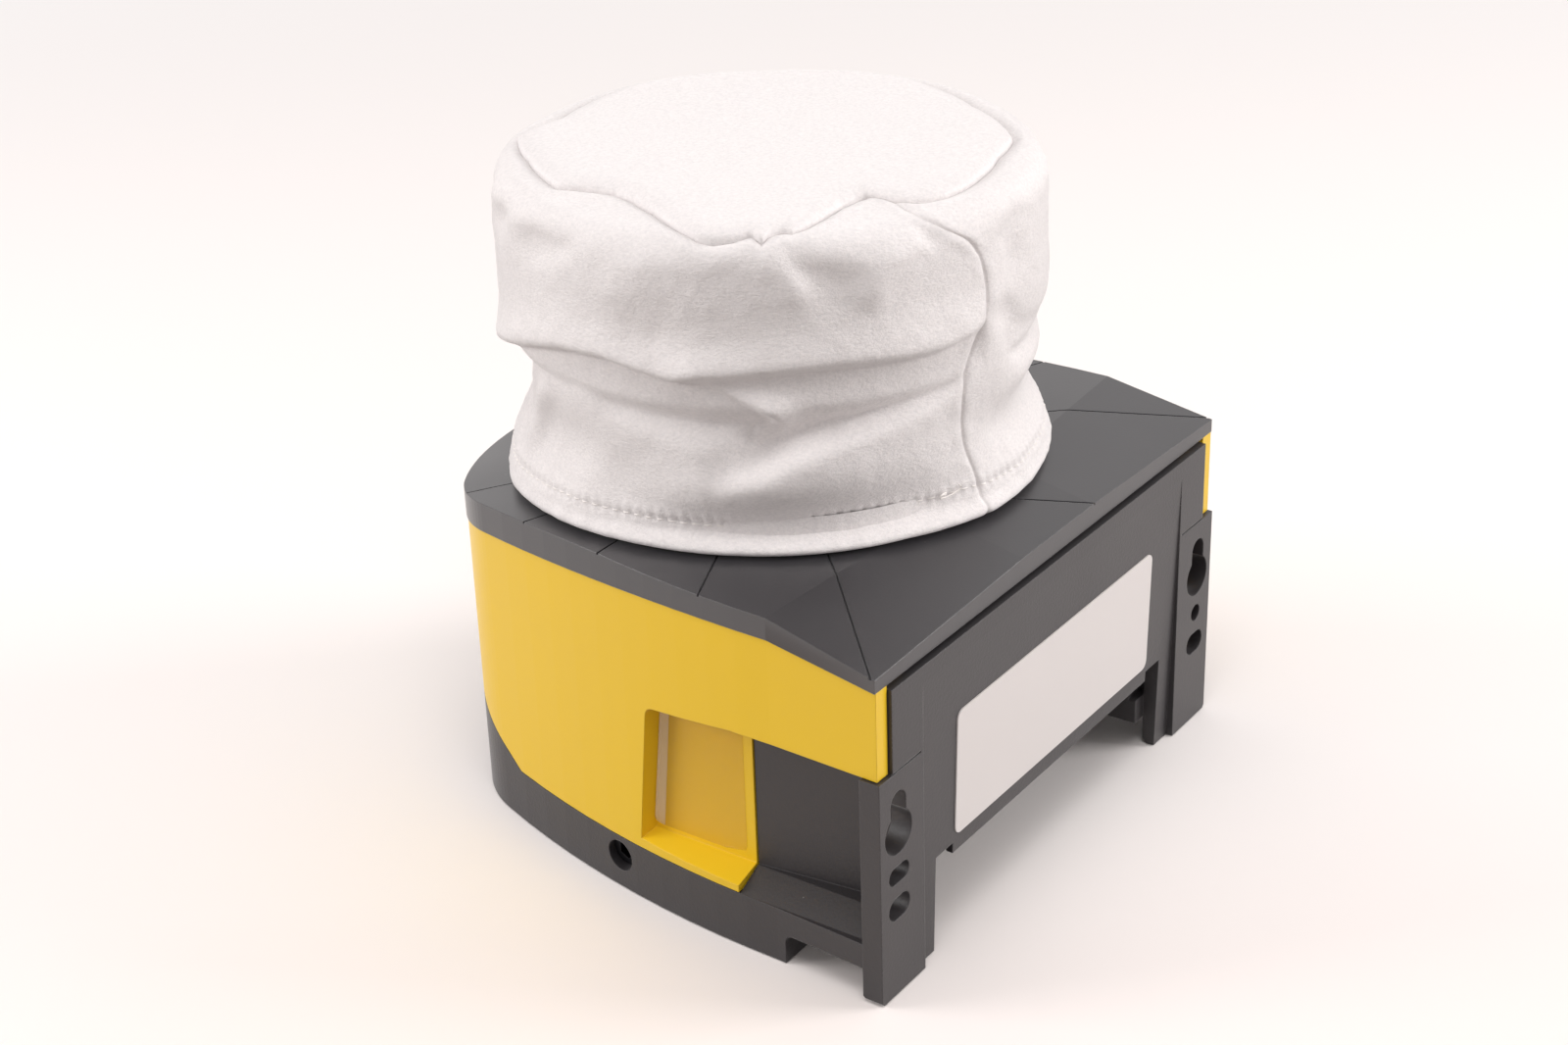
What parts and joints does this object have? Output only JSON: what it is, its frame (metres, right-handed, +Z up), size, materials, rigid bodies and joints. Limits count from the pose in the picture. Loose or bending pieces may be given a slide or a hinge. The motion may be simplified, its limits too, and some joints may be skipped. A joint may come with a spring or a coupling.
{
  "type": "safety laser scanner",
  "caption": "Safety laser scanner: yellow scanner unit with a fleece dust hood over its head, seated on a dark connection unit with mounting ears.",
  "frame": {"origin": "on the resting plane, half-way between the front and the mounting face, in the middle of the width", "axes": "+Z up, -Y towards the front, +Y out of the mounting face, +X to the right seen from the front"},
  "size_m": [0.14, 0.14, 0.1494],
  "materials": {
    "dark_housing": "moulded, fine textured, dark grey",
    "dark_plate": "moulded, satin, dark grey",
    "yellow_housing": "moulded, satin, signal yellow",
    "label_film": "satin polyester film, off-white, bare",
    "board": "green solder mask",
    "nickel_brass": "nickel-plated turned brass",
    "dark_insulator": "glass-filled polyamide, black",
    "seal_rubber": "black elastomer",
    "lock_metal": "zinc die casting, black passivated",
    "steel": "plain steel",
    "dark_window": "dyed polycarbonate, near black",
    "clear_guide": "clear acrylic",
    "lens_glass": "coated optical glass",
    "brass_barrel": "turned brass",
    "cast_aluminium": "machined aluminium",
    "winding": "enamelled copper winding in a steel stack",
    "mirror_coating": "front-surface mirror",
    "fleece": "white polyester fleece"
  },
  "bodies": {
    "device": {"connection_housing": "dark_housing", "rear_label": "label_film", "connection_board": "board", "supply_connector": "nickel_brass", "supply_insert": "dark_insulator", "network_connector": "nickel_brass", "network_insert": "dark_insulator", "unit_plug": "dark_insulator", "unit_socket": "dark_insulator", "contact_seal": "seal_rubber", "latch_hooks": "steel", "scanner_housing": "yellow_housing", "housing_seal": "seal_rubber", "top_plate": "dark_plate", "main_board": "board", "io_board": "board", "board_posts": "steel", "display_window": "dark_window", "display_module": "board", "light_pipes": "clear_guide", "optics_tube": "dark_insulator", "receiver_lens": "lens_glass", "laser_module": "brass_barrel", "receiver_board": "board", "optics_window": "dark_window", "window_seal": "seal_rubber", "cap_seal": "seal_rubber", "support_column": "dark_insulator", "motor_bracket": "cast_aluminium", "motor_stator": "winding", "motor_board": "board", "encoder_sensor": "dark_insulator", "bearing_lower": "steel", "bearing_upper": "steel", "head_cap": "yellow_housing", "cap_screws": "steel", "dust_hood": "fleece"},
    "rotor": {"rotor_shaft": "steel", "rotor_magnet": "dark_insulator", "mirror_carrier": "dark_insulator", "scan_mirror": "mirror_coating", "encoder_disc": "steel"},
    "lock_left": {"lock_left": "lock_metal"},
    "lock_right": {"lock_right": "lock_metal"}
  },
  "joints": [
    {"name": "mirror_spin", "type": "hinge", "parent": "device", "child": "rotor", "pos_m": [0, -0.0015, 0.1], "axis": [0, 0, 1], "continuous": true},
    {"name": "lock_right_turn", "type": "hinge", "parent": "device", "child": "lock_right", "pos_m": [0.055, -0.001, 0.0078], "axis": [-1, 0, 0], "range_deg": [0, 90]},
    {"name": "lock_left_turn", "type": "hinge", "parent": "device", "child": "lock_left", "pos_m": [-0.055, -0.001, 0.0078], "axis": [-1, 0, 0], "range_deg": [0, 90]}
  ]
}
